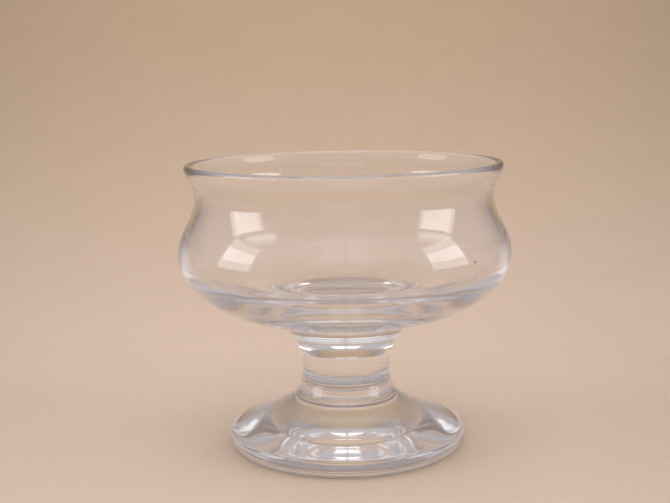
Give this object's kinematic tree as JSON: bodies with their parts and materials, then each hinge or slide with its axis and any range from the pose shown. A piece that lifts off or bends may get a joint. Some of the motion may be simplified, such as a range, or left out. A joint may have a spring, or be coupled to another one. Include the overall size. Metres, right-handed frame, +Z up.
{
  "type": "champagne coupe",
  "caption": "Low coupe of clear glass with a round-bellied bowl, drawn-in neck, flared beaded rim, short solid stem and domed foot.",
  "frame": {"origin": "centre of the foot's resting ring, on the table plane", "axes": "+Z up along the axis that the whole glass is turned about; +X and +Y are any two square directions"},
  "size_m": [0.0984, 0.0984, 0.085],
  "materials": {
    "bowl_glass": "clear, fire-polished",
    "stem_glass": "clear, fire-polished",
    "foot_glass": "clear, fire-polished"
  },
  "bodies": {
    "root": {"bowl": "bowl_glass", "stem": "stem_glass", "foot": "foot_glass"}
  },
  "joints": []
}
